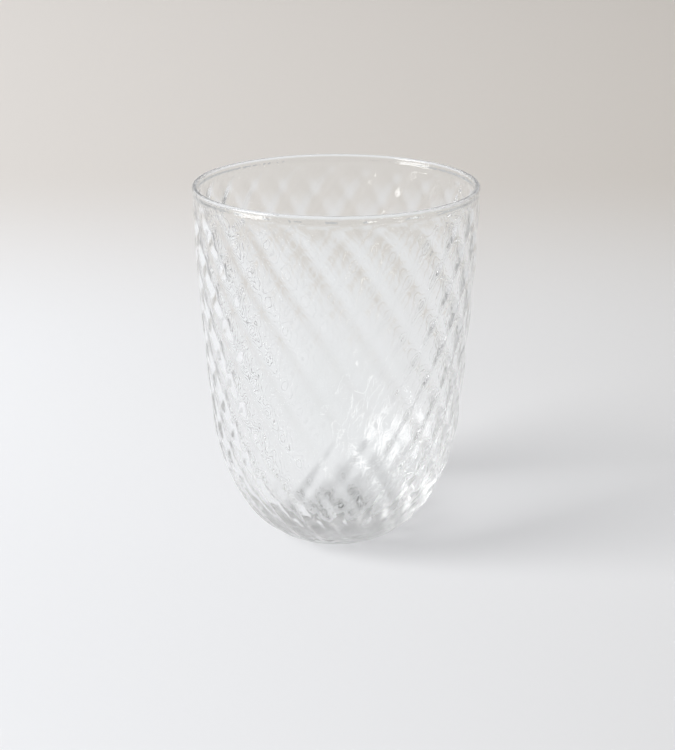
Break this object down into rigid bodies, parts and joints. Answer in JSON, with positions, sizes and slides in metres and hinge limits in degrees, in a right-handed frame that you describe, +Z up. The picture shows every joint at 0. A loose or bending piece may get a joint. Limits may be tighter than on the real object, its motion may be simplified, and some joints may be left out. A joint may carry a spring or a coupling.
{
  "type": "drinking glass",
  "caption": "Clear mouth-blown tumbler with crossing twisted ribs, a gently tapered wall, an egg-round heel, a small base and a plain fire-polished rim.",
  "frame": {"origin": "on the axis of the glass, at the level of the flat ring that it stands on", "axes": "+Z up along the axis to the rim; -Y faces the viewer of the picture, with +X to the right"},
  "size_m": [0.0804, 0.0806, 0.106],
  "materials": {
    "clear_glass": "clear and colourless, fire-polished, with a ground hollow under the base"
  },
  "bodies": {
    "root": {"base": "clear_glass", "rounded_heel": "clear_glass", "ribbed_wall": "clear_glass", "rim": "clear_glass"}
  },
  "joints": []
}
